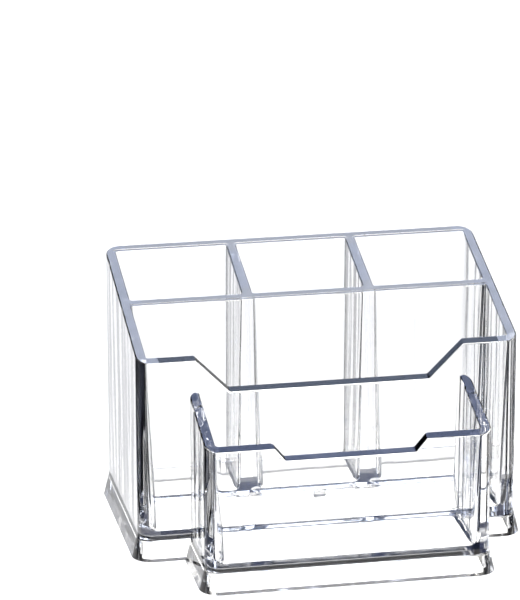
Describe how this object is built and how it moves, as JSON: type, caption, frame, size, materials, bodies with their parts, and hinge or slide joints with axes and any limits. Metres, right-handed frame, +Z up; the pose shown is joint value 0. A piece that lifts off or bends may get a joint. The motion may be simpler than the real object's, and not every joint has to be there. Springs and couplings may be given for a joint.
{
  "type": "pen holder",
  "caption": "Clear moulded desktop pen holder: tall rear cells and a full-width slot behind a lower, dipped front pocket, on a flared plinth.",
  "frame": {"origin": "middle of the base, on the plane that the plinth's foot stands on", "axes": "+X to the right along the width, +Y from the front pocket to the rear wall, +Z up"},
  "size_m": [0.1598, 0.1274, 0.1065],
  "materials": {
    "clear_walls": "polished crystal-clear polystyrene",
    "clear_pocket": "polished crystal-clear polystyrene",
    "clear_base": "polished crystal-clear polystyrene"
  },
  "bodies": {
    "root": {"rear_wall": "clear_walls", "left_side_wall": "clear_walls", "right_side_wall": "clear_walls", "cross_wall": "clear_walls", "left_divider": "clear_walls", "right_divider": "clear_walls", "front_wall": "clear_walls", "body_floor": "clear_base", "body_plinth": "clear_base", "pocket_left_wall": "clear_pocket", "pocket_right_wall": "clear_pocket", "pocket_front_wall": "clear_pocket", "pocket_floor": "clear_base", "pocket_plinth": "clear_base"}
  },
  "joints": []
}
